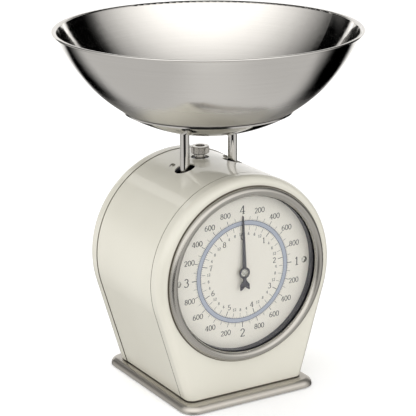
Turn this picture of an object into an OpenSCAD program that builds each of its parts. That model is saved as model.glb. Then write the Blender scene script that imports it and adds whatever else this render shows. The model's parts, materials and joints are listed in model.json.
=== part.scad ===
// Retro dial kitchen scale: enamelled steel housing, rack and pinion movement, loose steel bowl.
// The origin is under the bowl's axis, on the surface the scale stands on.
// +X is right, -Y is the front with the dial, +Z is up, and all lengths are in millimetres.

/* [Base tray] */
// Width of the tray, left to right
tray_w = 120; // [116:1:126]
// Depth of the tray, front to back
tray_d = 134; // [128:1:140]
// Height of the tray's rolled edge
tray_edge_h = 5.5; // [5:0.1:7]
// Radius of the tray's corners, seen from above
tray_corner_r = 12; // [8:1:16]
// How far the rubber feet stand out below the tray
foot_proud = 1; // [0.6:0.1:2]

/* [Housing] */
// Radius of the housing's round top
body_r = 78; // [76:0.5:82]
// Half of the housing's width where it meets the tray
body_foot_half_w = 52.5; // [48:0.5:56]
// Half of the housing's depth, front face to back face
body_half_d = 56.5; // [55:0.5:60]
// Distance of the front and rear seams from the middle
seam_half_d = 44; // [42:0.5:46]
// Radius of the soft edge around the front and rear faces
cap_edge_r = 6.5; // [4:0.5:9]
// Thickness of the enamelled sheet
sheet_t = 1; // [0.8:0.1:1.2]
// How far the rear cover stands proud of the band
rear_proud = 0.5; // [0.2:0.1:0.8]

/* [Dial] */
// Height of the dial's centre above the surface
dial_z = 102.5; // [100:0.5:106]
// Outer radius of the bezel ring
bezel_r = 69.8; // [68:0.2:71]
// Radius of the bezel's half-round section
bezel_section_r = 3.6; // [3:0.1:4]
// Distance of the dial's printed face behind the front face
dial_depth = 7.2; // [6.5:0.1:8]
// Distance of the two dial screws from the centre
dial_screw_x = 57.4; // [55:0.2:58]

/* [Pointer] */
// Length of the pointer's blade from the hub's centre
pointer_len = 45.3; // [42:0.1:47]
// Length of the pointer's tail
pointer_tail_len = 13.8; // [12:0.1:16]
// Radius of the pointer's hub
pointer_hub_r = 4.6; // [4:0.1:5.5]
// Lean of the blade towards the dial, in degrees
pointer_lean = 2.6; // [0:0.1:2.8]

/* [Platform and bowl] */
// Distance of each post from the middle
post_x = 21.8; // [20:0.1:24]
// Diameter of the posts
post_dia = 7.5; // [7:0.1:8]
// Diameter of the post holes in the band
post_hole_dia = 16; // [14:0.5:17]
// Outer radius of the bowl's rim
bowl_r = 120; // [110:1:125]
// Height of the bowl's rim above the surface
bowl_rim_z = 286; // [284:0.5:290]
// Radius of the bend between the bowl's wall and its lip
bowl_bend_r = 2.5; // [2:0.1:3]
// Thickness of the bowl's sheet
bowl_t = 0.8; // [0.6:0.1:1]
// Radius of the saucer's rim
saucer_r = 66.8; // [62:0.1:72]
// Thickness of the saucer's sheet
saucer_t = 1; // [0.8:0.1:1.2]

/* [Zero knob] */
// Distance of the knob behind the posts
knob_y = 13.5; // [12:0.5:15]
// Diameter of the knurled head
knob_dia = 14.8; // [13:0.1:16]
// Height of the knurled head
knob_h = 5.9; // [5:0.1:7]
// Height of the knob's top above the surface
knob_top_z = 189.5; // [189:0.5:191.5]

/* [Movement] */
// Travel of the platform for one full turn of the pointer
travel = 15.708; // [15.708:0.001:15.708]
// Tooth module of the rack and pinion
gear_module = 0.5; // [0.5:0.1:0.5]
// Teeth on the pinion
pinion_teeth = 10; // [10:1:10]
// Distance between the pivots of each guide link, front to back
link_run = 40; // [38:1:42]
// Height of the upper guide link's frame pivot
upper_link_z = 136; // [130:1:138]
// Height of the lower guide link's frame pivot
lower_link_z = 84; // [84:1:90]

/* [Hidden] */
$fn = 96;

tray_top_z = foot_proud + tray_edge_h;
tray_t = 1;
tray_edge_r = 5;
foot_x = 44;
foot_y = 50;
foot_r = 7;

body_drop = dial_z - tray_top_z;
corner_dist = sqrt(body_foot_half_w * body_foot_half_w + body_drop * body_drop);
side_angle = acos(body_r / corner_dist) - atan2(body_drop, body_foot_half_w);
knob_hole_dia = 14.4;
top_screw_x = 24.5;
top_screw_y = 15;
rim_face_w = 2;
lip_t = 0.8;
seam_gap = 0.6;
shell_gap = 0.6;
fit_gap = 0.06;
lip_reach = 3;
flange_w = 9;
flange_t = 1.2;

cover_hole_r = 65.6;
bezel_mid_r = bezel_r - bezel_section_r;
bezel_t = 0.8;
bezel_gap = 0.7;
skirt_t = 0.7;
lens_r = cover_hole_r - skirt_t - 0.3;
lens_t = 1.5;
lens_front = body_half_d - 0.1;
well_inner_r = 62;
dial_front = body_half_d - dial_depth;
dial_t = 0.8;
dial_bore_r = 3;
screw_head_r = 2.6;
screw_r = 1.25;

frame_front = 46;
frame_t = 1.5;
frame_half_w = 20;
frame_back_y = 26;
frame_back_half_w = 35.5;
strap_front_y = 6;
strap_half_angle = 25;
strap_outer_r = body_r - sheet_t - fit_gap;
strap_inner_r = strap_outer_r - frame_t;

shaft_r = 1;
shaft_back = 32.5;
bush_r = 2.5;
bush_bore_r = 1.05;
needle_t = 0.8;
needle_back = 52;
hub_screw_r = 0.8;
gear_front = 42;
gear_back = 38;
pitch_r = gear_module * pinion_teeth / 2;
pressure_angle = 20;
bracket_left_x = -9;
bracket_right_x = 3.2;
bracket_back = 33;
bracket_half_h = 6.5;

saucer_floor_z = 211.2;
saucer_floor_r = 34;
bowl_arc_r = 121.5;
bowl_arc_x = 3.5;
bowl_arc_z = 327.7;
seat_gap = 0.4;
bend_z = bowl_rim_z - bowl_bend_r;
bend_reach = bowl_arc_r - bowl_t + bowl_bend_r - 0.02;
bend_dir = asin((bend_z - bowl_arc_z) / bend_reach);
bend_x = bowl_arc_x + bend_reach * cos(bend_dir);
bowl_foot_r = 38;
bowl_foot_w = 8;
bowl_foot_h = 2;

carriage_top_z = 154;
carriage_bar_t = 4;
carriage_half_w = 29.5;
carriage_t = 1.5;
carriage_front_y = -22;
carriage_back_y = 6;
carriage_low_z = 80;
spigot_r = 2.5;
web_low_z = 104;
web_high_z = 124;
rack_half_h_up = 22;
rack_half_h_down = 5;
rack_back_x = 6;
rack_arm_t = 2;
rack_screw_r = 0.8;

spring_x = 12;
spring_r = 3.7;
spring_wire_r = 0.8;
hook_hole_r = 1.3;
hook_slack = 0.33;
lug_hook_h = 5;
hanger_hook_h = 1.5;
hanger_z = 159;
hanger_h = 4;
stud_r = 2.5;
stud_low_z = 154;
knob_dish_h = 2.4;
stud_top_z = knob_top_z - knob_dish_h - 1;
clip_z = 176.8;

link_pivot_y = 22;
link_arm_x = 31.5;
link_t = 1.2;
link_rise = travel / 2;
link_angle = atan2(link_rise, link_run);
pin_r = 1.5;
pin_bore_r = 1.55;
ear_x = 34;
ear_t = 1.5;

enamel = "#E6E2D3";
brushed = "#B9B3AA";
polished = "#D8D6D2";
dark_wall = "#4C4A50";
zinc = "#A9A9A4";
brass = "#C2A45A";
black_rubber = "#2B2B2B";
printed_card = "#DAD6C8";
charcoal = "#43424A";

// ---------- shared shapes ----------

// Turns shapes drawn face-on to the dial: x right, y up, z forward from the middle of the housing
module face_on() {
    translate([0, 0, dial_z]) rotate([90, 0, 0]) children();
}

// Both mirrored copies, left and right
module both_sides() {
    children();
    mirror([1, 0, 0]) children();
}

// Sweeps a section around the housing, face-on: over the round top and down the two straight sides
// The section is drawn with x outwards from the dial's centre and y forward
module around_body() {
    run = body_drop / cos(side_angle);
    rotate([0, 0, side_angle]) rotate_extrude(angle = 180 - 2 * side_angle) children();
    both_sides() rotate([0, 0, side_angle]) rotate([90, 0, 0]) linear_extrude(run) children();
}

// Everything below the shell's bottom edge, drawn face-on, to trim what is swept around the housing
// The shell ends a little above the tray and stands on its flanges
module below_shell() {
    translate([-body_r, shell_gap - body_drop - body_r, -body_half_d - 5])
        cube([2 * body_r, body_r, 2 * body_half_d + 10]);
}

// Cross-section of a cap's rim: straight flange, quarter-round edge and the start of the flat face
module cap_section(r, depth) {
    translate([r - cap_edge_r, depth - cap_edge_r]) intersection() {
        difference() {
            circle(cap_edge_r);
            circle(cap_edge_r - sheet_t);
        }
        square(cap_edge_r);
    }
    translate([r - sheet_t, seam_half_d]) square([sheet_t, depth - cap_edge_r - seam_half_d]);
    translate([r - cap_edge_r - rim_face_w, depth - sheet_t]) square([rim_face_w, sheet_t]);
}

// One enamelled cap, drawn face-on, with its rim r from the dial's centre
module cap(r, depth) {
    face_r = r - cap_edge_r - rim_face_w / 2;
    side_r = face_r - rim_face_w / 4;
    side = side_r * [cos(side_angle), sin(side_angle)];
    foot_half_w = side_r / cos(side_angle) + body_drop * tan(side_angle);
    difference() {
        union() {
            around_body() cap_section(r, depth);
            translate([0, 0, depth - sheet_t]) linear_extrude(sheet_t) {
                circle(face_r);
                polygon([side, [foot_half_w, -body_drop], [-foot_half_w, -body_drop], [-side[0], side[1]]]);
            }
        }
        below_shell();
    }
    bottom_flange(depth);
}

// Flange along the bottom of a cap, drawn face-on, for the screws from below
module bottom_flange(depth) {
    translate([-body_foot_half_w + 8, -body_drop, depth - 0.8 * sheet_t - flange_w])
        cube([2 * body_foot_half_w - 16, flange_t, flange_w]);
}

// Domed cross-head screw: head above z = 0, shank below
module cross_screw(head_r, head_h, shank_r, shank_len) {
    dome_r = (head_r * head_r + head_h * head_h) / (2 * head_h);
    difference() {
        intersection() {
            translate([0, 0, head_h - dome_r]) sphere(dome_r);
            cylinder(r = head_r, h = head_h);
        }
        for (turn = [0, 90]) rotate([0, 0, turn]) translate([-head_r * 0.6, -head_r * 0.17, head_h * 0.35])
            cube([head_r * 1.2, head_r * 0.34, head_h]);
    }
    translate([0, 0, -shank_len]) cylinder(r = shank_r, h = shank_len);
}

// Places children at every place in a list of points
module at_each(places) {
    for (place = places) translate(place) children();
}

// Places of the screws that come up through the tray
housing_screw_places = [for (x = [-28, 28], y = [-50, 50]) [x, y, tray_top_z - tray_t]];
band_screw_places = [for (x = [-46, 46], y = [-28, 28]) [x, y, tray_top_z - tray_t]];
chassis_screw_places = [for (x = [-24, 24], y = [-34, 18]) [x, y, tray_top_z - tray_t]];

// Round holes for those screws, through everything between z_low and z_high
module screw_holes(places, z_low, z_high) {
    for (place = places) translate([place[0], place[1], z_low]) cylinder(r = screw_r, h = z_high - z_low);
}

// ---------- base ----------

// Rounded rectangle, w by d
module rounded_rectangle(w, d, r) {
    square([w - 2 * r, d], center = true);
    square([w, d - 2 * r], center = true);
    for (x = [-1, 1], y = [-1, 1]) translate([x * (w / 2 - r), y * (d / 2 - r)]) circle(r);
}

// Cross-section of the tray's rolled edge: x outwards from the start of the bend, y up
module tray_edge_section() {
    translate([0, tray_edge_h - tray_edge_r]) intersection() {
        difference() {
            circle(tray_edge_r);
            circle(tray_edge_r - tray_t);
        }
        square(tray_edge_r);
    }
    translate([tray_edge_r - tray_t, 0]) square([tray_t, tray_edge_h - tray_edge_r]);
}

// Sweeps the edge section around the tray: four corners and four straight runs
module tray_edge() {
    corner_x = tray_w / 2 - tray_corner_r;
    corner_y = tray_d / 2 - tray_corner_r;
    bend = tray_corner_r - tray_edge_r;
    for (side = [0, 1], flip = [0, 1]) mirror([0, flip, 0]) mirror([side, 0, 0])
        translate([corner_x, corner_y, 0])
            rotate_extrude(angle = 90) translate([bend, 0]) tray_edge_section();
    for (side = [0, 1]) mirror([side, 0, 0]) translate([corner_x + bend, corner_y, 0])
        rotate([90, 0, 0]) linear_extrude(2 * corner_y) tray_edge_section();
    for (side = [0, 1]) mirror([0, side, 0]) translate([-corner_x, corner_y + bend, 0])
        rotate([90, 0, 90]) linear_extrude(2 * corner_x) tray_edge_section();
}

module base_tray() {
    color(brushed) difference() {
        translate([0, 0, foot_proud]) union() {
            tray_edge();
            translate([0, 0, tray_edge_h - tray_t]) linear_extrude(tray_t)
                rounded_rectangle(tray_w - 2 * tray_edge_r, tray_d - 2 * tray_edge_r,
                                  tray_corner_r - tray_edge_r);
        }
        screw_holes(concat(housing_screw_places, band_screw_places, chassis_screw_places), 0, tray_top_z + 1);
    }
}

module rubber_feet() {
    color(black_rubber) for (x = [-foot_x, foot_x], y = [-foot_y, foot_y]) translate([x, y, 0]) {
        cylinder(r1 = foot_r - 0.6, r2 = foot_r, h = 0.6);
        translate([0, 0, 0.6]) cylinder(r = foot_r, h = tray_top_z - tray_t - 0.6);
    }
}

// ---------- housing ----------

module front_cover() {
    color(enamel) difference() {
        face_on() difference() {
            cap(body_r, body_half_d);
            translate([0, 0, dial_front]) cylinder(r = cover_hole_r, h = 20);
        }
        screw_holes(housing_screw_places, 0, tray_top_z + 3);
    }
}

module rear_cover() {
    color(enamel) difference() {
        mirror([0, 1, 0]) face_on() cap(body_r + rear_proud, body_half_d);
        screw_holes(housing_screw_places, 0, tray_top_z + 3);
    }
}

// The wrap between the caps, with a locating lip inside each end and a flange along each bottom edge
module center_band() {
    half = seam_half_d - seam_gap;
    flange_half_d = half - 5;
    lip_r = body_r - sheet_t - 2 * lip_t;
    color(enamel) difference() {
        union() {
            face_on() difference() {
                around_body() {
                    translate([body_r - sheet_t, -half]) square([sheet_t, 2 * half]);
                    for (end = [-1, 1]) translate([lip_r, end * seam_half_d - lip_reach])
                        square([lip_t, 2 * lip_reach]);
                    for (start = [-half, half - lip_reach]) translate([lip_r, start])
                        square([2 * lip_t, lip_reach]);
                }
                below_shell();
            }
            both_sides() translate([body_foot_half_w - sheet_t / 2 - flange_w, -flange_half_d, tray_top_z])
                cube([flange_w, 2 * flange_half_d, flange_t]);
        }
        for (x = [-post_x, post_x]) translate([x, 0, dial_z]) cylinder(d = post_hole_dia, h = 100);
        translate([0, knob_y, dial_z]) cylinder(d = knob_hole_dia, h = 100);
        top_screw_places() translate([0, 0, -10]) cylinder(r = screw_r, h = 20);
        screw_holes(band_screw_places, 0, tray_top_z + 3);
    }
}

// Stands children on the band's outer surface at the two screws, pointing straight out of it
module top_screw_places() {
    lean = asin(top_screw_x / body_r);
    for (side = [-1, 1]) translate([0, top_screw_y, dial_z]) rotate([0, side * lean, 0])
        translate([0, 0, body_r]) children();
}

module top_screws() {
    color(polished) top_screw_places() cross_screw(screw_head_r, 1.3, screw_r, 5);
}

module housing_screws() {
    color(zinc) at_each(concat(housing_screw_places, band_screw_places))
        mirror([0, 0, 1]) cross_screw(3, 1.6, screw_r, 4);
}

// ---------- dial ----------

// Hollow half-round ring just clear of the cover, with a skirt that presses into the cover's opening
module bezel_ring() {
    color(brushed) face_on() rotate_extrude() {
        translate([bezel_mid_r, body_half_d + bezel_gap]) intersection() {
            difference() {
                circle(bezel_section_r);
                circle(bezel_section_r - bezel_t);
            }
            translate([-bezel_section_r, 0]) square([2 * bezel_section_r, bezel_section_r]);
        }
        translate([cover_hole_r - skirt_t, body_half_d - 3])
            square([skirt_t - fit_gap, bezel_section_r + bezel_gap + 2.4]);
    }
}

module dial_lens() {
    color("white", 0.3) face_on() translate([0, 0, lens_front - lens_t]) cylinder(r = lens_r, h = lens_t);
}

module dial_well() {
    color(dark_wall) face_on() translate([0, 0, dial_front]) difference() {
        cylinder(r = lens_r, h = lens_front - lens_t - dial_front);
        translate([0, 0, -1]) cylinder(r = well_inner_r, h = 20);
    }
}

module dial_plate() {
    color(printed_card) face_on() translate([0, 0, dial_front - dial_t]) difference() {
        cylinder(r = lens_r, h = dial_t);
        translate([0, 0, -1]) cylinder(r = dial_bore_r, h = 3);
        for (x = [-dial_screw_x, dial_screw_x]) translate([x, 0, -1]) cylinder(r = screw_r, h = 3);
    }
}

module dial_screws() {
    color(brass) face_on() for (x = [-dial_screw_x, dial_screw_x]) translate([x, 0, dial_front])
        rotate([0, 0, x < 0 ? 20 : 50]) cross_screw(screw_head_r, 1.2, screw_r, 4);
}

// Strap behind the dial plate, with a pad that sits on the chassis front
module dial_bracket() {
    strap_front = dial_front - dial_t;
    color(zinc) face_on() difference() {
        union() {
            translate([-dial_screw_x, -7, strap_front - 1.2]) cube([2 * dial_screw_x, 14, 1.2]);
            for (x = [-dial_screw_x, dial_screw_x]) translate([x, 0, strap_front - 1.2])
                cylinder(r = 5.5, h = 1.2);
            translate([-15, -7, frame_front]) cube([30, 14, strap_front - frame_front]);
        }
        translate([0, 0, frame_front - 1]) cylinder(r = 4, h = 5);
        for (x = [-dial_screw_x, dial_screw_x]) translate([x, 0, strap_front - 2])
            cylinder(r = screw_r, h = 3);
    }
}

// ---------- chassis ----------

// Bent steel frame: floor, front wall for the pointer, back wall for the links, arched top strap
module chassis() {
    color(dark_wall) difference() {
        union() {
            chassis_floor();
            chassis_front();
            chassis_back();
            chassis_strap();
            both_sides() for (z = [upper_link_z, lower_link_z]) chassis_ear(z);
        }
        translate([0, knob_y, dial_z]) cylinder(r = stud_r + 0.1, h = 100);
        top_screw_places() translate([0, 0, -10]) cylinder(r = screw_r, h = 20);
        screw_holes(chassis_screw_places, 0, tray_top_z + 5);
        for (z = [upper_link_z, lower_link_z]) translate([-50, link_pivot_y, z]) rotate([0, 90, 0])
            cylinder(r = pin_r, h = 100);
    }
}

module chassis_floor() {
    translate([-frame_back_half_w, -frame_front, tray_top_z])
        cube([2 * frame_back_half_w, frame_front + frame_back_y + frame_t, frame_t]);
}

module chassis_front() {
    face_on() translate([0, 0, frame_front - frame_t]) difference() {
        translate([-frame_half_w, -body_drop, 0]) cube([2 * frame_half_w, body_drop + 14, frame_t]);
        translate([0, 0, -1]) cylinder(r = bush_r, h = 4);
        translate([-12, -80, -1]) cube([24, 55, 4]);
    }
}

module chassis_back() {
    wall_high_z = 145;
    window_half_w = 22;
    window_heights = [[12, 64], [84, 120]];
    neck_half_w = 14;
    translate([-frame_back_half_w, frame_back_y, tray_top_z]) difference() {
        cube([2 * frame_back_half_w, frame_t, wall_high_z - tray_top_z]);
        for (heights = window_heights) translate([frame_back_half_w - window_half_w, -1, heights[0]])
            cube([2 * window_half_w, 4, heights[1] - heights[0]]);
    }
    translate([-neck_half_w, frame_back_y, wall_high_z - 15])
        cube([2 * neck_half_w, frame_t, dial_z + strap_inner_r - wall_high_z + 15.1]);
}

module chassis_strap() {
    strap_d = frame_back_y + frame_t - strap_front_y;
    face_on() translate([0, 0, -frame_back_y - frame_t]) rotate([0, 0, 90 - strap_half_angle])
        rotate_extrude(angle = 2 * strap_half_angle)
            translate([strap_inner_r, 0]) square([frame_t, strap_d]);
}

module chassis_ear(z) {
    translate([ear_x, link_pivot_y - 5, z - 6]) cube([ear_t, frame_back_y - link_pivot_y + 5 + frame_t, 12]);
}

module chassis_screws() {
    color(zinc) at_each(chassis_screw_places) mirror([0, 0, 1]) cross_screw(3, 1.6, screw_r, 4);
}

// U-shaped bracket behind the chassis front, open on the rack's side
module gear_bracket() {
    h = 2 * bracket_half_h;
    wall_back = frame_front - frame_t;
    color(zinc) face_on() difference() {
        union() {
            translate([bracket_left_x, -bracket_half_h, bracket_back]) cube([1, h, wall_back - bracket_back]);
            translate([bracket_left_x, -bracket_half_h, bracket_back])
                cube([bracket_right_x - bracket_left_x, h, frame_t]);
            translate([bracket_left_x - 6, -bracket_half_h, wall_back - 1]) cube([7, h, 1]);
        }
        translate([0, 0, bracket_back - 1]) cylinder(r = bush_r, h = 4);
    }
}

module shaft_bushes() {
    color(brass) face_on() for (back = [bracket_back, frame_front - frame_t])
        translate([0, 0, back]) difference() {
            cylinder(r = bush_r, h = frame_t);
            translate([0, 0, -1]) cylinder(r = bush_bore_r, h = 4);
        }
}

// ---------- pointer ----------

module pointer_shaft() {
    color(polished) face_on() translate([0, 0, shaft_back])
        cylinder(r = shaft_r, h = needle_back - shaft_back);
}

module pointer_collet() {
    collet_back = 48;
    color(brass) face_on() translate([0, 0, collet_back]) difference() {
        cylinder(r = 2.2, h = needle_back - collet_back);
        translate([0, 0, -1]) cylinder(r = shaft_r, h = 10);
    }
}

// Spear blade with a round hub and a fish tail, leaning so that its tip runs close to the dial
module pointer_needle() {
    color(charcoal) face_on() translate([0, 0, needle_back]) difference() {
        union() {
            cylinder(r = pointer_hub_r, h = needle_t);
            difference() {
                rotate([-pointer_lean, 0, 0]) linear_extrude(needle_t) {
                    pointer_blade();
                    pointer_tail();
                }
                translate([0, 0, -5]) cylinder(r = pointer_hub_r - 1, h = 10);
            }
        }
        translate([0, 0, -1]) cylinder(r = hub_screw_r, h = 3);
    }
}

module pointer_blade() {
    polygon([[-1.65, 3], [1.65, 3], [0.7, 38], [0.3, pointer_len], [-0.3, pointer_len], [-0.7, 38]]);
}

module pointer_tail() {
    tip = -pointer_tail_len;
    polygon([[-1.15, -3], [1.15, -3], [1.5, tip + 7.5], [4.1, tip + 4.4], [4.2, tip], [3.2, tip + 0.2],
             [0, tip + 2.6], [-3.2, tip + 0.2], [-4.2, tip], [-4.1, tip + 4.4], [-1.5, tip + 7.5]]);
}

module pointer_screw() {
    color(polished) face_on() translate([0, 0, needle_back + needle_t])
        cross_screw(3.3, 1.7, hub_screw_r, needle_t);
}

// Points up one flank of an involute tooth, from the base circle to the tip
function involute(base_r, roll) = base_r * [cos(roll) + roll * PI / 180 * sin(roll),
                                            sin(roll) - roll * PI / 180 * cos(roll)];
function roll_at(base_r, r) = sqrt(r * r / (base_r * base_r) - 1) * 180 / PI;
function turned(p, a) = [p[0] * cos(a) - p[1] * sin(a), p[0] * sin(a) + p[1] * cos(a)];

// Ten-tooth pinion with a little backlash, turned so that it meshes with the rack at rest
module pinion() {
    base_r = pitch_r * cos(pressure_angle);
    tip_r = pitch_r + 0.42;
    root_r = pitch_r - 0.62;
    backlash_angle = 3;
    pitch_roll = roll_at(base_r, pitch_r);
    flank_turn = pitch_roll - atan(pitch_roll * PI / 180) + 90 / pinion_teeth - backlash_angle;
    flank = [for (step = [0 : 4]) turned(involute(base_r, roll_at(base_r, tip_r) * step / 4), -flank_turn)];
    far_flank = [for (step = [4 : -1 : 0]) [flank[step][0], -flank[step][1]]];
    root_half = [root_r * cos(flank_turn), -root_r * sin(flank_turn)];
    color(brass) face_on() translate([0, 0, gear_back]) difference() {
        linear_extrude(gear_front - gear_back) {
            circle(root_r);
            for (tooth = [0 : pinion_teeth - 1]) rotate([0, 0, tooth * 360 / pinion_teeth])
                polygon(concat([[0, 0], root_half], flank, far_flank, [[root_half[0], -root_half[1]]]));
        }
        translate([0, 0, -1]) cylinder(r = shaft_r, h = 10);
    }
}

// ---------- platform ----------

// Straight rack on the right of the pinion, drawn face-on, with a tooth gap at the pinion's height
module rack() {
    pitch = PI * gear_module;
    tip_x = pitch_r - 0.4;
    root_x = pitch_r + 0.6;
    slope = tan(pressure_angle);
    half_gap = pitch / 4 + 0.03;
    low = -rack_half_h_down;
    high = rack_half_h_up;
    half_tooth = pitch / 2 - half_gap;
    root_half = half_tooth + 0.6 * slope;
    tip_half = half_tooth - 0.4 * slope;
    color(polished) difference() {
        face_on() translate([0, 0, gear_back]) linear_extrude(gear_front - gear_back) {
            translate([root_x, low]) square([rack_back_x - root_x, high - low]);
            for (step = [ceil(low / pitch) : floor(high / pitch) - 1]) translate([0, (step + 0.5) * pitch])
                polygon([[root_x, -root_half], [root_x, root_half], [tip_x, tip_half], [tip_x, -tip_half]]);
        }
        rack_screw_places() translate([0, 0, -4]) cylinder(r = rack_screw_r, h = 5);
    }
}

// Stands children on the rack arm's outer face at the two rack screws, pointing to the right
module rack_screw_places() {
    for (dz = [4, 14]) translate([rack_back_x + rack_arm_t, -(gear_front + gear_back) / 2, dial_z + dz])
        rotate([0, 90, 0]) children();
}

module rack_screws() {
    color(zinc) rack_screw_places() cross_screw(1.7, 0.8, rack_screw_r, 4);
}

// Stamped frame that hangs on the springs: top bar, side plates, lower plate, front web and rack arm
module carriage() {
    bar_d = 12;
    color(zinc) difference() {
        union() {
            translate([-carriage_half_w, -bar_d / 2, carriage_top_z - carriage_bar_t])
                cube([2 * carriage_half_w, bar_d, carriage_bar_t]);
            both_sides() translate([carriage_half_w - carriage_t, carriage_front_y, carriage_low_z])
                cube([carriage_t, carriage_back_y - carriage_front_y, carriage_top_z - carriage_low_z]);
            translate([-carriage_half_w, -4, carriage_low_z]) cube([2 * carriage_half_w, 22, carriage_t]);
            for (x = [-spring_x, spring_x]) spring_lug(x);
            translate([-carriage_half_w, carriage_front_y, web_low_z])
                cube([2 * carriage_half_w, carriage_t, web_high_z - web_low_z]);
            translate([rack_back_x, -gear_front, web_low_z - 4])
                cube([rack_arm_t, gear_front + carriage_front_y + carriage_t, 22]);
        }
        for (x = [-post_x, post_x]) translate([x, 0, carriage_top_z - 10])
            cylinder(r = spigot_r + fit_gap, h = 20);
        for (z = [upper_link_z, lower_link_z]) translate([-50, link_pivot_y - link_run, z + link_rise])
            rotate([0, 90, 0]) cylinder(r = pin_r, h = 100);
        both_sides() translate([15, -15, web_low_z + 20]) cube([20, 12, 12]);
        rack_screw_places() translate([0, 0, -5]) cylinder(r = rack_screw_r, h = 6);
    }
}

// Upright lug on the lower plate, with a hole for a spring's hook
module spring_lug(x) {
    difference() {
        translate([x - 3.5, knob_y - 0.75, carriage_low_z]) cube([7, 1.5, 8]);
        translate([x, knob_y - 5, carriage_low_z + lug_hook_h]) rotate([-90, 0, 0])
            cylinder(r = hook_hole_r, h = 10);
    }
}

module post(x) {
    color(polished) translate([x, 0, 0]) {
        translate([0, 0, carriage_top_z])
            cylinder(d = post_dia, h = saucer_floor_z - saucer_t - carriage_top_z);
        translate([0, 0, carriage_top_z - 9]) cylinder(r = spigot_r, h = 9);
    }
}

module left_post() {
    post(-post_x);
}

module right_post() {
    post(post_x);
}

module post_nuts() {
    nut_h = 3.5;
    nut_low_z = carriage_top_z - carriage_bar_t - nut_h;
    color(zinc) for (x = [-post_x, post_x]) translate([x, 0, nut_low_z]) difference() {
        cylinder(r = 4.6, h = nut_h, $fn = 6);
        translate([0, 0, -1]) cylinder(r = spigot_r + fit_gap, h = nut_h + 2);
    }
}

// Shallow dish concentric with the bowl's wall, with a flat floor on the posts
module saucer() {
    r = bowl_arc_r + seat_gap;
    color(brushed) difference() {
        rotate_extrude() {
            intersection() {
                difference() {
                    translate([bowl_arc_x, bowl_arc_z]) circle(r + saucer_t);
                    translate([bowl_arc_x, bowl_arc_z]) circle(r);
                }
                translate([saucer_floor_r, saucer_floor_z - saucer_t - 1])
                    square([saucer_r - saucer_floor_r, 40]);
            }
            translate([0, saucer_floor_z - saucer_t]) square([saucer_floor_r + 2, saucer_t]);
        }
        for (x = [-post_x, post_x]) translate([x, 0, saucer_floor_z - 5]) cylinder(r = screw_r, h = 10);
    }
}

module saucer_screws() {
    color(zinc) for (x = [-post_x, post_x]) translate([x, 0, saucer_floor_z])
        cross_screw(3, 1.4, screw_r, saucer_t);
}

// ---------- bowl ----------

// Round bowl with a raised centre in its floor, so that only a foot ring rests on the saucer
module bowl() {
    color(polished) rotate_extrude() {
        bowl_wall();
        bowl_floor();
        bowl_lip();
    }
}

// The wall's arc, from the foot up to a little past the start of the bend
module bowl_wall() {
    past_bend = bend_dir + 0.15;
    centre = [bowl_arc_x, bowl_arc_z];
    intersection() {
        translate(centre) difference() {
            circle(bowl_arc_r);
            circle(bowl_arc_r - bowl_t);
        }
        polygon([centre, [bowl_foot_r - 1, saucer_floor_z], [bowl_r + 5, saucer_floor_z],
                 centre + (bowl_r + 10) * [cos(past_bend), sin(past_bend)]]);
    }
}

module bowl_floor() {
    foot_inner_r = bowl_foot_r - bowl_foot_w;
    translate([foot_inner_r, saucer_floor_z]) square([bowl_foot_w + 0.4, bowl_t]);
    translate([foot_inner_r - bowl_t, saucer_floor_z]) square([bowl_t, bowl_foot_h]);
    translate([0, saucer_floor_z + bowl_foot_h]) square([foot_inner_r, bowl_t]);
}

// Bend outwards from the wall into a narrow flat lip with a curled edge
module bowl_lip() {
    curl_r = 0.9;
    start = bend_dir + 186;
    corner = 2 * bowl_bend_r;
    translate([bend_x, bend_z]) intersection() {
        difference() {
            circle(bowl_bend_r);
            circle(bowl_bend_r - bowl_t);
        }
        polygon([[0, 0], [0, corner], [-corner, corner], corner * [cos(start), sin(start)]]);
    }
    curl_x = bowl_r - curl_r;
    translate([bend_x - 0.2, bowl_rim_z - bowl_t + 0.02]) square([curl_x - bend_x + 0.2, bowl_t - 0.04]);
    translate([curl_x, bowl_rim_z - curl_r]) circle(curl_r);
}

// ---------- zero adjustment ----------

// Knurled head with a dished top, on a stem with a collar that sits on the chassis strap
module zero_knob() {
    head_low_z = knob_top_z - knob_h;
    collar_low_z = dial_z + strap_outer_r + 0.15;
    collar_h = 1.4;
    color(brushed) translate([0, knob_y, 0]) difference() {
        union() {
            translate([0, 0, head_low_z]) knurled_head();
            translate([0, 0, collar_low_z]) cylinder(r = 4.2, h = collar_h);
            translate([0, 0, collar_low_z]) cylinder(r = 3.6, h = head_low_z - collar_low_z + 0.5);
        }
        translate([0, 0, knob_top_z - knob_dish_h]) cylinder(r = 3.8, h = 5);
        translate([0, 0, collar_low_z - 1]) cylinder(r = stud_r, h = stud_top_z - collar_low_z + 1);
    }
}

// Straight-knurled disc with bevelled edges, its bottom at z = 0
module knurled_head() {
    grooves = 44;
    groove_depth = 0.4;
    bevel = 0.7;
    r = knob_dia / 2;
    crest_r = r + 0.08;
    intersection() {
        linear_extrude(knob_h) polygon([for (i = [0 : 2 * grooves - 1])
            (crest_r - (i % 2) * groove_depth) * [cos(i * 180 / grooves), sin(i * 180 / grooves)]]);
        rotate_extrude() polygon([[0, 0], [r - bevel, 0], [r, bevel],
                                  [r, knob_h - bevel], [r - bevel, knob_h], [0, knob_h]]);
    }
}

// Threaded stud: a core with a row of thread crests
module zero_stud() {
    pitch = 0.8;
    depth = 0.45;
    core_r = stud_r - depth;
    turns = 28;
    thread_top_z = stud_low_z + turns * pitch;
    color(zinc) translate([0, knob_y, 0]) rotate_extrude() {
        translate([0, stud_low_z]) square([core_r, turns * pitch]);
        for (turn = [0 : turns - 1]) translate([core_r, stud_low_z + turn * pitch])
            polygon([[-depth, 0], [0, 0], [depth, 0.35], [depth, 0.45], [0, pitch], [-depth, pitch]]);
        translate([0, thread_top_z]) square([stud_r, stud_top_z - thread_top_z]);
    }
}

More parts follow.
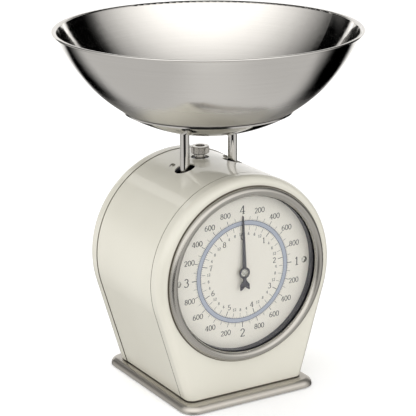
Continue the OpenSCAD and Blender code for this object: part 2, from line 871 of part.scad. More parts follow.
module stud_clip() {
    color(polished) translate([0, knob_y, clip_z]) difference() {
        cylinder(r = 4.6, h = 0.7);
        translate([0, 0, -1]) cylinder(r = stud_r, h = 3);
    }
}

// Cross bar that climbs the stud as the knob turns, and holds the springs' upper hooks
module spring_hanger() {
    color(zinc) difference() {
        union() {
            translate([-spring_x - 4, knob_y - 0.75, hanger_z - 1])
                cube([2 * spring_x + 8, 1.5, hanger_h + 1]);
            translate([0, knob_y, hanger_z]) cylinder(r = 5.5, h = hanger_h);
        }
        translate([0, knob_y, hanger_z - 5]) cylinder(r = stud_r + 0.06, h = 20);
        for (x = [-spring_x, spring_x]) translate([x, knob_y - 5, hanger_z + hanger_hook_h])
            rotate([-90, 0, 0]) cylinder(r = hook_hole_r, h = 10);
    }
}

// Close-wound extension spring between its two hook loops, drawn as touching turns
module spring(x) {
    loop_r = 2.6;
    top_centre = hanger_z + hanger_hook_h - hook_slack - loop_r;
    low_centre = carriage_low_z + lug_hook_h + hook_slack + loop_r;
    coil_low = low_centre + loop_r + 0.2;
    coil_high = top_centre - loop_r - 0.2;
    turns = floor((coil_high - coil_low) / (1.9 * spring_wire_r));
    pitch = (coil_high - coil_low) / turns;
    color(polished) translate([x, knob_y, 0]) {
        rotate_extrude() for (turn = [0 : turns]) translate([spring_r, coil_low + turn * pitch])
            circle(spring_wire_r, $fn = 12);
        for (centre = [top_centre, low_centre]) translate([0, 0, centre]) rotate([0, 90, 0])
            rotate_extrude() translate([loop_r, 0]) circle(spring_wire_r);
        for (z = [coil_low, coil_high]) translate([-spring_r, 0, z]) rotate([0, 90, 0])
            cylinder(r = spring_wire_r, h = 2 * spring_r);
    }
}

module left_spring() {
    spring(-spring_x);
}

module right_spring() {
    spring(spring_x);
}

// ---------- guide links ----------

// Sleeve on the frame pin with an arm at each end, whose slotted eyes ride on the carriage pins
module guide_link(pivot_z) {
    slot_mid = (link_run + link_run / cos(link_angle)) / 2;
    slot_half = 0.8;
    color(zinc) translate([0, link_pivot_y, pivot_z]) rotate([-link_angle, 0, 0]) difference() {
        union() {
            translate([-link_arm_x - link_t, 0, 0]) rotate([0, 90, 0])
                cylinder(r = 2.6, h = 2 * (link_arm_x + link_t));
            both_sides() link_arm(slot_mid);
        }
        translate([-50, 0, 0]) rotate([0, 90, 0]) cylinder(r = pin_bore_r, h = 100);
        for (shift = [-slot_half, slot_half]) translate([-50, shift - slot_mid, 0]) rotate([0, 90, 0])
            cylinder(r = pin_r + 0.15, h = 100);
        translate([-50, -slot_mid - slot_half, -pin_r - 0.15]) cube([100, 2 * slot_half, 2 * pin_r + 0.3]);
    }
}

module link_arm(reach) {
    translate([link_arm_x, 0, 0]) {
        translate([0, -reach, -3]) cube([link_t, reach, 6]);
        for (y = [0, -reach]) translate([0, y, 0]) rotate([0, 90, 0]) cylinder(r = 4, h = link_t);
    }
}

module upper_link() {
    guide_link(upper_link_z);
}

module lower_link() {
    guide_link(lower_link_z);
}

// Long pins through the chassis ears
module frame_pins() {
    half = ear_x + ear_t + 0.8;
    color(polished) for (z = [upper_link_z, lower_link_z]) translate([-half, link_pivot_y, z])
        rotate([0, 90, 0]) cylinder(r = pin_r, h = 2 * half);
}

// Short headed pins on the carriage's side plates
module carriage_pins() {
    inner = carriage_half_w - carriage_t;
    outer = link_arm_x + link_t + 0.3;
    color(polished) both_sides() for (z = [upper_link_z, lower_link_z])
        translate([inner, link_pivot_y - link_run, z + link_rise]) rotate([0, 90, 0]) {
            cylinder(r = pin_r, h = outer - inner);
            translate([0, 0, outer - inner]) cylinder(r = 2.6, h = 0.8);
        }
}

// ---------- output ----------

base_tray();
rubber_feet();
front_cover();
center_band();
rear_cover();
bezel_ring();
dial_lens();
dial_well();
dial_plate();
dial_screws();
top_screws();
housing_screws();
chassis();
chassis_screws();
dial_bracket();
gear_bracket();
shaft_bushes();
pointer_needle();
pointer_screw();
pointer_collet();
pointer_shaft();
pinion();
rack();
rack_screws();
carriage();
left_post();
right_post();
post_nuts();
saucer();
saucer_screws();
bowl();
zero_knob();
zero_stud();
stud_clip();
spring_hanger();
left_spring();
right_spring();
upper_link();
lower_link();
frame_pins();
carriage_pins();
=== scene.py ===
"""Looks of the retro dial kitchen scale: finishes, printed dial, camera, light and floor."""

import json
import math

import bmesh
import bpy
from mathutils import Euler, Matrix, Vector


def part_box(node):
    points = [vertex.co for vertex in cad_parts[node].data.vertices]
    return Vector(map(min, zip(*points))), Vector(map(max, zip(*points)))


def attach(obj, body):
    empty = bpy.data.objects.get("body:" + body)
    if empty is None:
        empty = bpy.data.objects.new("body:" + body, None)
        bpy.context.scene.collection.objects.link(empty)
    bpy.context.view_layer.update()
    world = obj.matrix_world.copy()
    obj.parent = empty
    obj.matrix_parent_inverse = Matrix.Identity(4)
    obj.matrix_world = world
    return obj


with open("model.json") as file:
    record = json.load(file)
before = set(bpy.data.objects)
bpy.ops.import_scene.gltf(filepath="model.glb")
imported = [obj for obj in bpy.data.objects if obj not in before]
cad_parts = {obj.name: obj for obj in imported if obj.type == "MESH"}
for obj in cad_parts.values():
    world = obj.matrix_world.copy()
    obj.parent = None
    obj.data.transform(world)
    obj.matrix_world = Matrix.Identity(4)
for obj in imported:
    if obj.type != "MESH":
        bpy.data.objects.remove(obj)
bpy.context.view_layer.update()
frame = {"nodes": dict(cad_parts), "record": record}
NODES = frame["nodes"]

MM = 0.001

# The camera stands in front and to the left, and looks slightly down at the middle of the scale
CAMERA_AZIMUTH = 30.89
CAMERA_PITCH = 17.01
CAMERA_ROLL = -0.33
CAMERA_PLACE = Vector((-0.6608, -1.1028, 0.5346))
CAMERA_LENS = 147.0

# The white room's strength, and the floor: a wide disc whose faint glow weakens the scale's shadow
ROOM_LIGHT = 1.0
FLOOR_RADIUS = 5.0
FLOOR_GLOW = 0.10

# The dial's centre and the plane of its printed face, from the frame
PLATE_LOW, PLATE_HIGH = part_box("dial_plate")
DIAL_CENTRE = (PLATE_LOW + PLATE_HIGH) / 2
DIAL_FRONT = PLATE_LOW.y

# The gap between the housing's band and each of its two covers
SEAM_GAP = 0.6 * MM
SEAM_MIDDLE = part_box("rear_cover")[0].y - SEAM_GAP / 2

# The edges from which the enamel's painted shade lines are measured
TRAY_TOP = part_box("base_tray")[1].z
BEZEL_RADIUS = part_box("bezel_ring")[1].x

# The painted shadow line round the bezel goes only on the front cover's face, which lies ahead of this depth
COVER_FACE_BACK = -50 * MM

# How far each painted shade line reaches from its edge: dark up to the first number, gone at the second
SEAM_SHADE_LINE = 0.04 * MM, 0.12 * MM
FOOT_SHADE_LINE = 0.8 * MM, 1.2 * MM
BEZEL_SHADE_LINE = 0.7 * MM, 1.1 * MM

# The bowl is bright above SATIN_TOP and turns satin below it, over the height SATIN_FADE
SATIN_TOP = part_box("saucer")[1].z + 36 * MM
SATIN_FADE = 34 * MM
SATIN_ROUGHNESS = 0.32

# Printed scales, in millimetres from the dial's centre; a full turn is 4 kg
RING_INNER, RING_OUTER = 37.9, 41.1
PRINT_THICKNESS = 0.02
GRAMS_PER_TURN = 4000
OUNCES_PER_TURN = 4000 / 28.3495
OUNCES_PER_POUND = 16


# ---------- node helpers ----------

class Tree:
    """Adds nodes to a material's or a world's tree."""

    def __init__(self, tree):
        self.tree = tree

    def node(self, kind, **settings):
        made = self.tree.nodes.new(kind)
        for key, value in settings.items():
            setattr(made, key, value)
        return made

    def link(self, source, target):
        self.tree.links.new(source, target)

    def math(self, operation, a, b=None):
        made = self.node("ShaderNodeMath", operation=operation)
        for socket, value in zip(made.inputs, (a, b)):
            if isinstance(value, (int, float)):
                socket.default_value = value
            elif value is not None:
                self.link(value, socket)
        return made.outputs[0]

    def smooth(self, value, start, end, kind="SMOOTHSTEP"):
        """0 up to start, 1 from end on, and a soft step between them."""
        made = self.node("ShaderNodeMapRange", interpolation_type=kind)
        made.inputs["From Min"].default_value = start
        made.inputs["From Max"].default_value = end
        self.link(value, made.inputs["Value"])
        return made.outputs[0]

    def product(self, *values):
        result = values[0]
        for value in values[1:]:
            result = self.math("MULTIPLY", result, value)
        return result

    def total(self, *values):
        result = values[0]
        for value in values[1:]:
            result = self.math("ADD", result, value)
        return result

    def parts(self, vector):
        """The x, y and z of a vector."""
        split = self.node("ShaderNodeSeparateXYZ")
        self.link(vector, split.inputs[0])
        return split.outputs

    def distance(self, across, along):
        """How far a point of a plane is from the plane's middle."""
        squares = self.total(self.product(across, across), self.product(along, along))
        return self.math("SQRT", squares)

    def without(self, value):
        """One minus the value."""
        return self.math("SUBTRACT", 1.0, value)


class Look(Tree):
    """A Principled material whose nodes are added one after another."""

    def __init__(self, name, **settings):
        self.material = bpy.data.materials.new(name)
        self.material.use_nodes = True
        super().__init__(self.material.node_tree)
        self.shader = self.tree.nodes["Principled BSDF"]
        for socket, value in settings.items():
            self.shader.inputs[socket.replace("_", " ")].default_value = value

    def place(self):
        """The place on the object, in metres, in the part's own frame."""
        return self.node("ShaderNodeTexCoord").outputs["Object"]

    def stretched(self, scale):
        """The place, scaled along each axis, so that noise comes out stretched."""
        mapping = self.node("ShaderNodeMapping")
        mapping.inputs["Scale"].default_value = scale
        self.link(self.place(), mapping.inputs["Vector"])
        return mapping.outputs["Vector"]

    def spun(self, axis, centre, across, along):
        """Coordinates for marks in circles round an axis: across the circles, and faintly along them."""
        offset = self.node("ShaderNodeVectorMath", operation="SUBTRACT")
        self.link(self.place(), offset.inputs[0])
        offset.inputs[1].default_value = centre
        x, y, z = self.parts(offset.outputs[0])
        side, forward, height = {"Z": (x, y, z), "Y": (x, z, y)}[axis]
        radius = self.distance(side, forward)
        join = self.node("ShaderNodeCombineXYZ")
        self.link(self.math("MULTIPLY", radius, across), join.inputs[0])
        self.link(self.math("MULTIPLY", height, across), join.inputs[1])
        self.link(self.math("MULTIPLY", self.math("ARCTAN2", side, forward), along), join.inputs[2])
        return join.outputs[0]

    def noise(self, vector, scale=1.0, detail=3.0, roughness=0.5):
        made = self.node("ShaderNodeTexNoise")
        made.inputs["Scale"].default_value = scale
        made.inputs["Detail"].default_value = detail
        made.inputs["Roughness"].default_value = roughness
        self.link(vector, made.inputs["Vector"])
        return made.outputs["Fac"]

    def between(self, value, low, high, start=0.3, end=0.7):
        """Maps a noise value to a number between low and high."""
        made = self.node("ShaderNodeMapRange")
        for socket, number in zip(list(made.inputs)[1:5], (start, end, low, high)):
            socket.default_value = number
        self.link(value, made.inputs[0])
        return made.outputs[0]

    def blend(self, value, colour_a, colour_b):
        """Mixes two colours, each a constant or the output of another node."""
        made = self.node("ShaderNodeMix", data_type="RGBA")
        for socket, colour in zip(made.inputs[6:8], (colour_a, colour_b)):
            if isinstance(colour, tuple):
                socket.default_value = (*colour, 1)
            else:
                self.link(colour, socket)
        self.link(value, made.inputs[0])
        return made.outputs[2]

    def colour(self, source):
        self.link(source, self.shader.inputs["Base Color"])

    def roughness(self, source):
        self.link(source, self.shader.inputs["Roughness"])

    def bump(self, height, depth):
        """Bump with its height in metres."""
        made = self.node("ShaderNodeBump")
        made.inputs["Strength"].default_value = 1.0
        made.inputs["Distance"].default_value = depth
        self.link(height, made.inputs["Height"])
        self.link(made.outputs[0], self.shader.inputs["Normal"])


# ---------- finishes ----------

def enamel():
    """Glossy stove enamel with a clear coat, and painted shade: dark lines at the seams, round the bezel and
    at the foot.
    """
    look = Look("enamel", Roughness=0.34, Coat_Weight=1.0, Coat_Roughness=0.03, Specular_IOR_Level=0.3)
    drift = look.noise(look.place(), scale=14, detail=2)
    cream = look.blend(look.between(drift, 0, 1), (0.665, 0.642, 0.552), (0.695, 0.674, 0.585))
    x, y, z = look.parts(look.place())
    # Painted shade in the seams: a dark line over each real seam gap, darker low down and lighter higher up
    shade = look.blend(look.smooth(z, 0.05, 0.15), (0.11, 0.10, 0.08), (0.36, 0.34, 0.285))
    from_seam = look.math("ABSOLUTE", look.math("SUBTRACT", look.math("ABSOLUTE", y), SEAM_MIDDLE))
    off_seam_shade = look.smooth(from_seam, *(SEAM_GAP / 2 + reach for reach in SEAM_SHADE_LINE))
    # Painted shade at the foot: a dark strip on the shell up to about 1 mm above the tray's top, where
    # contact shadow falls
    off_foot_shade = look.smooth(z, *(TRAY_TOP + reach for reach in FOOT_SHADE_LINE))
    # Painted shadow round the bezel: a dark ring on the cover's face on each side of the bezel's outer edge
    radius = look.distance(x, look.math("SUBTRACT", z, DIAL_CENTRE.z))
    from_ring = look.math("ABSOLUTE", look.math("SUBTRACT", radius, BEZEL_RADIUS))
    off_ring_shade = look.smooth(from_ring, *BEZEL_SHADE_LINE)
    off_face = look.smooth(y, COVER_FACE_BACK, COVER_FACE_BACK + 2 * MM)
    off_bezel_shade = look.math("MAXIMUM", off_ring_shade, off_face)
    # The dark painted shade of the foot and bezel lines, laid over the cream
    cream_with_painted_shade = look.blend(look.product(off_foot_shade, off_bezel_shade), (0.12, 0.10, 0.075), cream)
    look.colour(look.blend(off_seam_shade, shade, cream_with_painted_shade))
    peel = look.noise(look.place(), scale=900, detail=2)
    look.roughness(look.between(look.noise(look.place(), scale=60), 0.30, 0.38))
    look.bump(peel, 0.000012)
    return look.material


def brushed_tray():
    """Sheet steel with fine level brushing that runs along every edge."""
    look = Look("brushed_steel", Metallic=1.0, Roughness=0.3)
    fine = look.noise(look.stretched((40, 40, 3000)), detail=3)
    broad = look.noise(look.stretched((12, 12, 160)), detail=2)
    look.colour(look.blend(look.between(fine, 0, 1), (0.50, 0.475, 0.43), (0.57, 0.545, 0.50)))
    look.roughness(look.between(broad, 0.34, 0.42))
    look.bump(fine, 0.0000015)
    return look.material


def spun_steel(name, axis, centre, colours, roughness, depth=0.000004, lines=2400, satin=None):
    """Steel turned or spun on a lathe, in circles round its axis; it turns satin below a height, if given."""
    look = Look(name, Metallic=1.0, Anisotropic=0.45)
    fine = look.noise(look.spun(axis, centre, lines, 1.5), detail=4)
    broad = look.noise(look.spun(axis, centre, 220, 0.8), detail=2)
    look.colour(look.blend(look.between(fine, 0, 1), *colours))
    polish = look.between(broad, *roughness)
    if satin:
        low = look.without(look.smooth(look.parts(look.place())[2], satin - SATIN_FADE, satin))
        polish = look.total(polish, look.product(low, SATIN_ROUGHNESS))
    look.roughness(polish)
    look.bump(fine, depth)
    tangent = look.node("ShaderNodeTangent", direction_type="RADIAL", axis=axis)
    look.link(tangent.outputs[0], look.shader.inputs["Tangent"])
    return look.material


def cast_metal(name, colours, roughness, scale=500, depth=0.000008, **settings):
    """Plated or drawn metal with a fine even grain."""
    look = Look(name, Metallic=1.0, **settings)
    grain = look.noise(look.place(), scale=scale, detail=4)
    look.colour(look.blend(look.between(grain, 0, 1), *colours))
    look.roughness(look.between(look.noise(look.place(), scale=scale / 6), *roughness))
    look.bump(grain, depth)
    return look.material


def grained(name, colours, roughness, scale=400, depth=0.00001, **settings):
    """Paint, plastic or rubber with a fine grain."""
    look = Look(name, **settings)
    grain = look.noise(look.place(), scale=scale, detail=3)
    look.colour(look.blend(look.between(grain, 0, 1), *colours))
    look.roughness(look.between(look.noise(look.place(), scale=scale / 5), *roughness))
    look.bump(grain, depth)
    return look.material


def lens_glass():
    """Clear glass that lets lamps through to the dial."""
    look = Look("lens", Transmission_Weight=1.0, IOR=1.30)
    look.shader.inputs["Base Color"].default_value = (0.985, 0.99, 0.985, 1)
    smear = look.noise(look.place(), scale=30, detail=2)
    look.roughness(look.between(smear, 0.0, 0.02))
    clear = look.node("ShaderNodeBsdfTransparent")
    path = look.node("ShaderNodeLightPath")
    mix = look.node("ShaderNodeMixShader")
    look.link(path.outputs["Is Shadow Ray"], mix.inputs[0])
    look.link(look.shader.outputs[0], mix.inputs[1])
    look.link(clear.outputs[0], mix.inputs[2])
    look.link(mix.outputs[0], look.tree.nodes["Material Output"].inputs["Surface"])
    return look.material


def make_finishes():
    """One material for each of the record's slots, and one for the saucer, which isn't satin low down."""
    bowl_axis = (0, 0, 0)
    dial_axis = (0, 0, DIAL_CENTRE.z)
    knob_low, knob_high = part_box("zero_knob")
    knob_axis = ((knob_low.x + knob_high.x) / 2, (knob_low.y + knob_high.y) / 2, 0)
    grey_steel = (0.50, 0.49, 0.47), (0.62, 0.61, 0.58)
    bowl_colours = (0.625, 0.61, 0.585), (0.655, 0.64, 0.615)
    return {
        "enamel": enamel(),
        "brushed_steel": brushed_tray(),
        "bezel_steel": spun_steel("bezel_steel", "Y", dial_axis, ((0.42, 0.405, 0.37), (0.49, 0.475, 0.44)),
                                  (0.24, 0.32), depth=0.000001),
        "bowl_steel": spun_steel("bowl_steel", "Z", bowl_axis, bowl_colours, (0.05, 0.09),
                                 depth=0.0000004, satin=SATIN_TOP),
        "saucer": spun_steel("saucer_steel", "Z", bowl_axis, bowl_colours, (0.06, 0.10),
                             depth=0.0000004),
        "post_chrome": spun_steel("post_chrome", "Z", bowl_axis, ((0.64, 0.625, 0.60), (0.70, 0.69, 0.665)),
                                  (0.04, 0.07), depth=0.0000003),
        "bright_steel": cast_metal("bright_steel", ((0.42, 0.41, 0.38), (0.52, 0.51, 0.47)), (0.16, 0.24)),
        "zinc_steel": cast_metal("zinc_steel", grey_steel, (0.34, 0.46)),
        "knob_steel": spun_steel("knob_steel", "Z", knob_axis, ((0.48, 0.465, 0.44), (0.58, 0.56, 0.53)),
                                 (0.12, 0.20), depth=0.000001),
        "spring_steel": cast_metal("spring_steel", ((0.34, 0.34, 0.35), (0.46, 0.46, 0.46)), (0.26, 0.36)),
        "brass": cast_metal("brass", ((0.66, 0.49, 0.23), (0.78, 0.62, 0.33)), (0.20, 0.32)),
        "lens": lens_glass(),
        "dark_wall": grained("dark_wall", ((0.034, 0.034, 0.046), (0.048, 0.048, 0.062)), (0.34, 0.44)),
        "dial_card": grained("dial_card", ((0.80, 0.765, 0.69), (0.825, 0.79, 0.715)), (0.50, 0.60),
                             scale=700, depth=0.000004),
        "pointer_paint": grained("pointer_paint", ((0.040, 0.038, 0.048), (0.058, 0.055, 0.068)),
                                 (0.30, 0.42)),
        "rubber": grained("rubber", ((0.020, 0.020, 0.020), (0.035, 0.035, 0.034)), (0.6, 0.8)),
    }


def finish_cad_nodes(finishes):
    """Gives every CAD node the material of its slot in the record, or one of its own."""
    for subpart in frame["record"]["subparts"]:
        data = NODES[subpart["node"]].data
        data.materials.clear()
        data.materials.append(finishes.get(subpart["node"]) or finishes[subpart["material_slot"]])


# ---------- printed dial ----------

class Print:
    """Flat printing on the dial plate, drawn in millimetres from the dial's centre, x right and y up."""

    def __init__(self, name, material, slot, lift=0.02):
        self.mesh = bmesh.new()
        self.name, self.material, self.slot = name, material, slot
        self.back_y = DIAL_FRONT - lift * MM
        self.front_y = self.back_y - PRINT_THICKNESS * MM

    def vertex(self, point, y):
        return self.mesh.verts.new((DIAL_CENTRE.x + point[0] * MM, y, DIAL_CENTRE.z + point[1] * MM))

    def ribbon(self, left, right, closed=False):
        """A thin solid strip between two rows of points, with the strip's left side seen along it."""
        rows = [[self.vertex(p, y) for p in points]
                for points, y in ((left, self.front_y), (right, self.front_y),
                                  (right, self.back_y), (left, self.back_y))]
        count = len(left)
        for step in range(count if closed else count - 1):
            after = (step + 1) % count
            for row, next_row in zip(rows, rows[1:] + rows[:1]):
                self.mesh.faces.new((row[step], next_row[step], next_row[after], row[after]))
        if not closed:
            self.mesh.faces.new([row[0] for row in reversed(rows)])
            self.mesh.faces.new([row[-1] for row in rows])

    def tick(self, turn, inner, outer, width):
        """A radial line at a share of a full turn, clockwise from the top."""
        angle = 2 * math.pi * turn
        out = Vector((math.sin(angle), math.cos(angle)))
        side = Vector((-out.y, out.x)) * width / 2
        self.ribbon([out * inner + side, out * outer + side], [out * inner - side, out * outer - side])

    def ring(self, inner, outer, steps=240):
        around = [Vector((math.cos(a), math.sin(a))) for a in (2 * math.pi * i / steps for i in range(steps))]
        self.ribbon([p * inner for p in around], [p * outer for p in around], closed=True)

    def stroke(self, points, thick, thin, closed=False):
        """A pen stroke that is thick where it runs up and down, and thin where it runs across."""
        left, right = [], []
        count = len(points)
        for i, point in enumerate(points):
            before = points[(i - 1) % count] if closed or i else point
            after = points[(i + 1) % count] if closed or i < count - 1 else point
            along = (after - before).normalized()
            width = thin + (thick - thin) * abs(along.y) ** 1.5
            side = Vector((-along.y, along.x)) * width / 2
            left.append(point + side)
            right.append(point - side)
        self.ribbon(left, right, closed)

    def number(self, text, centre, height):
        """Upright figures centred on a point."""
        advance = 0.74 * height
        start = centre[0] - advance * len(text) / 2
        for place, figure in enumerate(text):
            corner = Vector((start + advance * (place + 0.5), centre[1] - height / 2))
            for points, closed in FIGURES[figure]:
                drawn = [corner + Vector(((x - 0.5) * 1.12 * height, y * height)) for x, y in points]
                self.stroke(drawn, 0.14 + height * 0.11, 0.18 + height * 0.05, closed)

    def number_at(self, text, turn, radius, height):
        angle = 2 * math.pi * turn
        self.number(text, (radius * math.sin(angle), radius * math.cos(angle)), height)

    def done(self):
        bmesh.ops.recalc_face_normals(self.mesh, faces=self.mesh.faces)
        data = bpy.data.meshes.new(self.name)
        self.mesh.to_mesh(data)
        self.mesh.free()
        data.materials.append(self.material)
        piece = bpy.data.objects.new(self.name, data)
        bpy.context.scene.collection.objects.link(piece)
        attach(piece, "housing")


def arc(x, y, rx, ry, start, end, steps=14):
    """Points on an ellipse from one angle to another, in degrees, counterclockwise from the right."""
    angles = [math.radians(start + (end - start) * i / steps) for i in range(steps + 1)]
    return [(x + rx * math.cos(a), y + ry * math.sin(a)) for a in angles]


def loop(x, y, rx, ry, steps=22):
    return arc(x, y, rx, ry, 0, 360 - 360 / steps, steps - 1)


# Strokes of each figure in a box one unit high, centred on x = 0.5, as (points, closed)
FIGURES = {
    "0": [(loop(0.5, 0.5, 0.25, 0.48), True)],
    "1": [([(0.52, 0.0), (0.52, 0.98)], False),
          ([(0.34, 0.80), (0.44, 0.86), (0.52, 0.98)], False),
          ([(0.36, 0.02), (0.68, 0.02)], False)],
    "2": [(arc(0.5, 0.73, 0.21, 0.25, 170, -20) + [(0.62, 0.50), (0.44, 0.28), (0.28, 0.05)], False),
          ([(0.26, 0.05), (0.50, 0.07), (0.66, 0.03), (0.74, 0.14)], False)],
    "3": [(arc(0.49, 0.76, 0.19, 0.22, 155, -85), False),
          (arc(0.48, 0.28, 0.24, 0.27, 88, -155), False)],
    "4": [([(0.60, 0.0), (0.60, 0.98)], False),
          ([(0.60, 0.98), (0.20, 0.28), (0.80, 0.28)], False),
          ([(0.47, 0.02), (0.73, 0.02)], False)],
    "5": [([(0.70, 0.93), (0.36, 0.94), (0.33, 0.52)], False),
          (arc(0.48, 0.31, 0.22, 0.28, 135, -150), False)],
    "6": [(arc(0.72, 0.36, 0.45, 0.60, 100, 178, 8) + arc(0.5, 0.29, 0.23, 0.27, 170, 500, 20), False)],
    "7": [([(0.28, 0.82), (0.30, 0.94), (0.74, 0.94), (0.56, 0.60), (0.47, 0.30), (0.45, 0.0)], False)],
    "8": [(loop(0.5, 0.74, 0.18, 0.22), True), (loop(0.5, 0.27, 0.23, 0.25), True)],
}


def print_dial(ink, blue):
    """Rings, ticks and figures of the gram and ounce scales."""
    band = Print("print_blue_band", blue, "dial_card")
    band.ring(RING_INNER, RING_OUTER)
    band.done()

    lines = Print("print_band_lines", ink["blue_line"], "pointer_paint", lift=0.03)
    lines.ring(RING_INNER - 0.25, RING_INNER + 0.20)
    lines.ring(RING_OUTER - 0.20, RING_OUTER + 0.25)
    lines.done()

    ounces = Print("print_ounce_ticks", ink["light"], "pointer_paint", lift=0.04)
    pounds = Print("print_pound_ticks", ink["dark"], "pointer_paint", lift=0.05)
    for ounce in range(int(OUNCES_PER_TURN) + 1):
        turn = ounce / OUNCES_PER_TURN
        if ounce % OUNCES_PER_POUND == 0:
            pounds.tick(turn, 33.0, RING_INNER, 0.50)
        elif ounce % 4 == 0:
            ounces.tick(turn, 33.7, RING_INNER, 0.28)
        else:
            ounces.tick(turn, RING_INNER - 1.2, RING_INNER, 0.22)
    ounces.done()
    pounds.done()

    fine = Print("print_gram_ticks", ink["light"], "pointer_paint", lift=0.04)
    hundreds = Print("print_200_gram_ticks", ink["dark"], "pointer_paint", lift=0.05)
    for gram in range(0, GRAMS_PER_TURN, 20):
        turn = gram / GRAMS_PER_TURN
        if gram % 1000 == 0:
            hundreds.tick(turn, RING_OUTER, 45.5, 0.55)
        elif gram % 200 == 0:
            hundreds.tick(turn, RING_OUTER, 45.2, 0.38)
        elif gram % 100 == 0:
            fine.tick(turn, RING_OUTER, 44.5, 0.30)
        else:
            fine.tick(turn, RING_OUTER, RING_OUTER + 1.4, 0.20)
    fine.done()
    hundreds.done()

    kilos = Print("print_kilogram_figures", ink["dark"], "pointer_paint", lift=0.05)
    grams = Print("print_gram_figures", ink["dark"], "pointer_paint", lift=0.05)
    for gram in range(200, GRAMS_PER_TURN + 1, 200):
        turn = gram / GRAMS_PER_TURN
        if gram % 1000 == 0:
            kilos.number_at(str(gram // 1000), turn, 50.3, 6.7)
        else:
            grams.number_at(str(gram % 1000), turn, 50.0, 4.2)
    kilos.done()
    grams.done()

    big = Print("print_pound_figures", ink["dark"], "pointer_paint", lift=0.05)
    small = Print("print_ounce_figures", ink["light"], "pointer_paint", lift=0.04)
    big.number("0", (0, 28.6), 5.0)
    for ounce in range(4, int(OUNCES_PER_TURN), 4):
        turn = ounce / OUNCES_PER_TURN
        if ounce % OUNCES_PER_POUND == 0:
            big.number_at(str(ounce // OUNCES_PER_POUND), turn, 29.6, 4.4)
        else:
            small.number_at(str(ounce % OUNCES_PER_POUND), turn, 30.8, 2.2)
    big.done()
    small.done()


def printing_inks():
    return {
        "dark": grained("ink_dark", ((0.022, 0.024, 0.030), (0.034, 0.036, 0.044)), (0.5, 0.6), scale=900),
        "light": grained("ink_light", ((0.060, 0.063, 0.070), (0.085, 0.088, 0.095)), (0.5, 0.6), scale=900),
        "blue_line": grained("ink_blue_line", ((0.09, 0.11, 0.17), (0.12, 0.14, 0.20)), (0.5, 0.6),
                             scale=900),
    }


def printing_blue():
    return grained("ink_blue", ((0.40, 0.43, 0.51), (0.43, 0.46, 0.54)), (0.5, 0.6), scale=900)


# ---------- camera, light and floor ----------

def add_camera():
    data = bpy.data.cameras.new("camera")
    data.lens = CAMERA_LENS
    data.sensor_width = 36.0
    data.clip_start, data.clip_end = 0.05, 60.0
    camera = bpy.data.objects.new("camera", data)
    aim = Euler((math.radians(90 - CAMERA_PITCH), 0, math.radians(-CAMERA_AZIMUTH))).to_matrix()
    turned = aim @ Matrix.Rotation(math.radians(CAMERA_ROLL), 3, "Z")
    camera.matrix_world = Matrix.Translation(CAMERA_PLACE) @ turned.to_4x4()
    bpy.context.scene.collection.objects.link(camera)
    bpy.context.scene.camera = camera


def add_softbox(name, place, target, size, power):
    """A white area lamp that lights surfaces and isn't seen in mirrored rays."""
    data = bpy.data.lights.new(name, "AREA")
    data.shape = "RECTANGLE"
    data.size, data.size_y = size
    data.energy = power
    lamp = bpy.data.objects.new(name, data)
    lamp.location = place
    lamp.visible_glossy = False
    lamp.rotation_euler = (Vector(target) - Vector(place)).to_track_quat("-Z", "Y").to_euler()
    bpy.context.scene.collection.objects.link(lamp)


def add_floor():
    """A round white floor that, like the lamps, isn't seen in mirrored rays."""
    mesh = bmesh.new()
    steps = 64
    angles = [2 * math.pi * i / steps for i in range(steps)]
    rim = [mesh.verts.new((FLOOR_RADIUS * math.cos(a), FLOOR_RADIUS * math.sin(a), 0)) for a in angles]
    mesh.faces.new(rim)
    data = bpy.data.meshes.new("floor")
    mesh.to_mesh(data)
    mesh.free()
    floor = bpy.data.objects.new("floor", data)
    data.materials.append(grained("floor", ((0.97, 0.97, 0.97), (0.98, 0.98, 0.98)), (0.6, 0.7), scale=40,
                                 Emission_Color=(1, 1, 1, 1), Emission_Strength=FLOOR_GLOW))
    bpy.context.scene.collection.objects.link(floor)
    floor.visible_glossy = False


def add_studio():
    """A white room for everything but glossy rays, which see mirrored_light in its place.

    Glossy rays are those mirrored by steel, by the enamel's coat and by the other shiny surfaces.
    """
    world = bpy.data.worlds.new("studio")
    bpy.context.scene.world = world
    world.use_nodes = True
    sky = Tree(world.node_tree)
    room = sky.tree.nodes["Background"]
    room.inputs["Color"].default_value = (1, 1, 1, 1)
    room.inputs["Strength"].default_value = ROOM_LIGHT
    mirrored = sky.node("ShaderNodeBackground")
    mirrored.inputs["Color"].default_value = (1, 0.985, 0.965, 1)
    sky.link(mirrored_light(sky), mirrored.inputs["Strength"])
    path = sky.node("ShaderNodeLightPath")
    through_glass = path.outputs["Is Transmission Ray"]
    mix = sky.node("ShaderNodeMixShader")
    sky.link(sky.product(path.outputs["Is Glossy Ray"], sky.without(through_glass)), mix.inputs[0])
    sky.link(room.outputs[0], mix.inputs[1])
    sky.link(mirrored.outputs[0], mix.inputs[2])
    sky.link(mix.outputs[0], sky.tree.nodes["World Output"].inputs["Surface"])


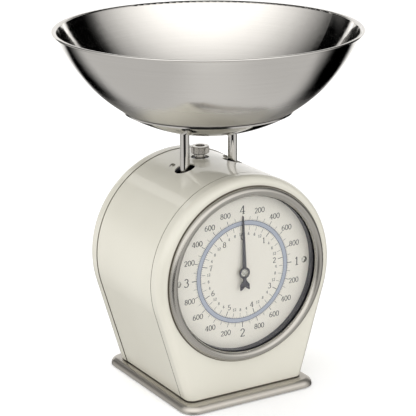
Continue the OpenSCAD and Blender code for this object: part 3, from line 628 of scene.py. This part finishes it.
def mirrored_light(sky):
    """The light that glossy rays find in each direction, shaped after the bowl's reflections.

    Back is away from the photo's camera and right is to its right. The shapes stand still when the
    camera moves.
    """
    x, y, up = sky.parts(sky.node("ShaderNodeTexCoord").outputs["Generated"])
    turn = math.radians(CAMERA_AZIMUTH)
    back = sky.total(sky.product(x, math.sin(turn)), sky.product(y, math.cos(turn)))
    right = sky.math("SUBTRACT", sky.product(x, math.cos(turn)), sky.product(y, math.sin(turn)))
    aside = sky.math("ABSOLUTE", right)

    # A big softbox over the front, fading towards the back, and a plain light table below
    softbox = sky.product(sky.without(sky.smooth(back, -0.60, 0.48, "LINEAR")), 1.75)
    shaded = sky.product(sky.smooth(right, -0.40, -0.02), sky.without(sky.smooth(right, 0.06, 0.60)))
    near = sky.without(sky.smooth(back, -0.62, -0.40))
    table = sky.total(sky.product(shaded, 0.13), sky.product(near, 0.08), 0.69)
    high = sky.smooth(up, -0.05, 0.30)
    open_light = sky.total(sky.product(high, softbox), sky.product(sky.without(high), table))

    # A dark room behind, wider on the right, and the dark front of the room low down
    reach = sky.total(back, sky.product(sky.math("MAXIMUM", right, 0.0), 0.35))
    room_behind = sky.product(sky.smooth(reach, 0.42, 0.76), sky.smooth(up, -0.82, -0.60))
    low = sky.product(sky.smooth(up, -0.62, -0.45), sky.without(sky.smooth(up, -0.08, 0.05)))
    room_in_front = sky.product(sky.without(sky.smooth(back, -0.90, -0.80)), low)
    dark = sky.math("MAXIMUM", room_behind, sky.product(room_in_front, 0.97))

    # White strips: one on each side at the back, and the backdrop straight behind
    strip = sky.product(sky.smooth(aside, 0.50, 0.53), sky.without(sky.smooth(aside, 0.60, 0.63)),
                        sky.smooth(back, 0.50, 0.60), sky.smooth(up, 0.02, 0.06))
    backdrop = sky.product(sky.smooth(back, 0.76, 0.86), sky.smooth(up, -0.42, -0.30))
    strips = sky.total(sky.product(strip, 0.80), sky.product(backdrop, 1.1))
    return sky.total(sky.product(open_light, sky.without(dark)), strips)


def main():
    add_camera()
    add_studio()
    add_softbox("top_light", (-1.3, -0.5, 3.0), (0, 0, 0.1), (2.4, 2.4), 14)
    add_softbox("back_light", (-1.2, 2.2, 1.6), (0, 0, 0.15), (1.5, 1.5), 16)
    add_softbox("front_light", (1.2, -2.6, 1.3), (0, 0, 0.12), (1.8, 1.8), 10)
    add_floor()
    finish_cad_nodes(make_finishes())
    print_dial(printing_inks(), printing_blue())
    bpy.context.scene.view_settings.view_transform = "Standard"


main()
